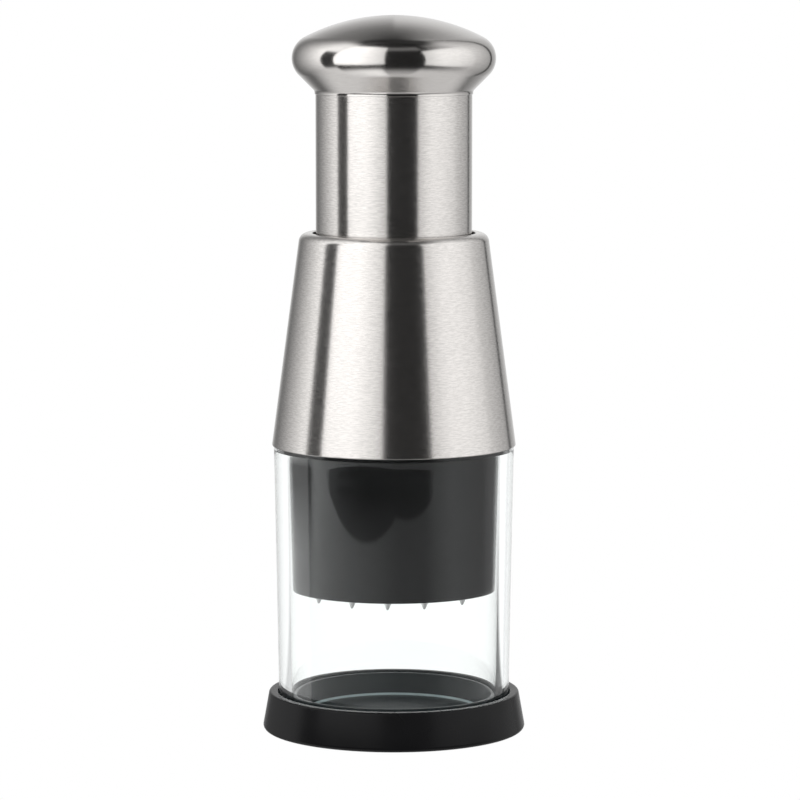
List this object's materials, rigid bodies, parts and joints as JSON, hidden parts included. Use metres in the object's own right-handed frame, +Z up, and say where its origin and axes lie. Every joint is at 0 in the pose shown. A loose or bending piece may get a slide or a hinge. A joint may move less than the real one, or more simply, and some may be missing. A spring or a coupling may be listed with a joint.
{
  "type": "plunger food chopper",
  "caption": "Upright kitchen chopper: a glass cylinder in a black base cap, a conical steel collar, and a domed knob on a tube that drives a zigzag blade through a slotted wiper.",
  "frame": {"origin": "centre of the base on the surface that the chopper stands on", "axes": "+Z up along the plunger's axis; -Y is the side that the picture shows"},
  "size_m": [0.0886, 0.0886, 0.2378],
  "materials": {
    "matte_black": "fine-grained matte black moulding",
    "grip_rubber": "matte soft ring with fine grooves",
    "silicone": "translucent grey-white silicone",
    "clear_glass": "clear, with a faint green tint in its edges",
    "brushed_steel": "fine circular brushing, satin",
    "bright_steel": "machined, bright",
    "spring_steel": "drawn wire",
    "blade_steel": "cold-rolled strip with a ground edge",
    "gloss_black": "glossy black moulding",
    "black_moulding": "black moulding",
    "black_acetal": "satin black acetal"
  },
  "bodies": {
    "base": {"base_cap": "matte_black", "base_grip_ring": "grip_rubber", "glass_seat_gasket": "silicone"},
    "glass": {"glass_cylinder": "clear_glass"},
    "head": {"collar_shell": "brushed_steel", "collar_liner": "black_moulding", "guide_bush": "black_acetal", "rim_gasket": "silicone", "guard_cup": "gloss_black", "liner_screws": "bright_steel", "index_ring": "bright_steel", "index_nut": "bright_steel", "nut_spring": "spring_steel", "ratchet_cap": "black_moulding", "ratchet_screws": "bright_steel", "return_spring": "spring_steel"},
    "plunger": {"knob_cap": "brushed_steel", "knob_insert": "black_moulding", "plunger_tube": "brushed_steel", "plunger_stop_ring": "black_acetal"},
    "blade": {"blade_stem": "bright_steel", "thrust_washer": "bright_steel", "stem_washer": "bright_steel", "stem_screw": "bright_steel", "blade_carrier": "black_acetal", "carrier_screw": "bright_steel", "zigzag_blade": "blade_steel"},
    "wiper": {"wiper_disc": "black_acetal"}
  },
  "joints": [
    {"name": "glass_lift", "type": "slide", "parent": "base", "child": "glass", "axis": [0, 0, 1], "range_m": [0, 0.05]},
    {"name": "head_lift", "type": "slide", "parent": "glass", "child": "head", "axis": [0, 0, 1], "range_m": [0, 0.07]},
    {"name": "plunger_press", "type": "slide", "parent": "head", "child": "plunger", "axis": [0, 0, -1], "range_m": [0, 0.037], "stiffness_N_per_m": 400, "springref_m": -0.03, "deforming": ["return_spring"]},
    {"name": "blade_index", "type": "hinge", "parent": "plunger", "child": "blade", "pos_m": [0, 0, 0.09], "axis": [0, 0, 1], "range_deg": [0, 30]},
    {"name": "wiper_index", "type": "hinge", "parent": "head", "child": "wiper", "pos_m": [0, 0, 0.05], "axis": [0, 0, 1], "range_deg": [0, 30]}
  ],
  "couplings": [
    {"joint": "blade_index", "follows": "plunger_press", "rad_per_m": 14.151},
    {"joint": "wiper_index", "follows": "plunger_press", "rad_per_m": 14.151}
  ]
}
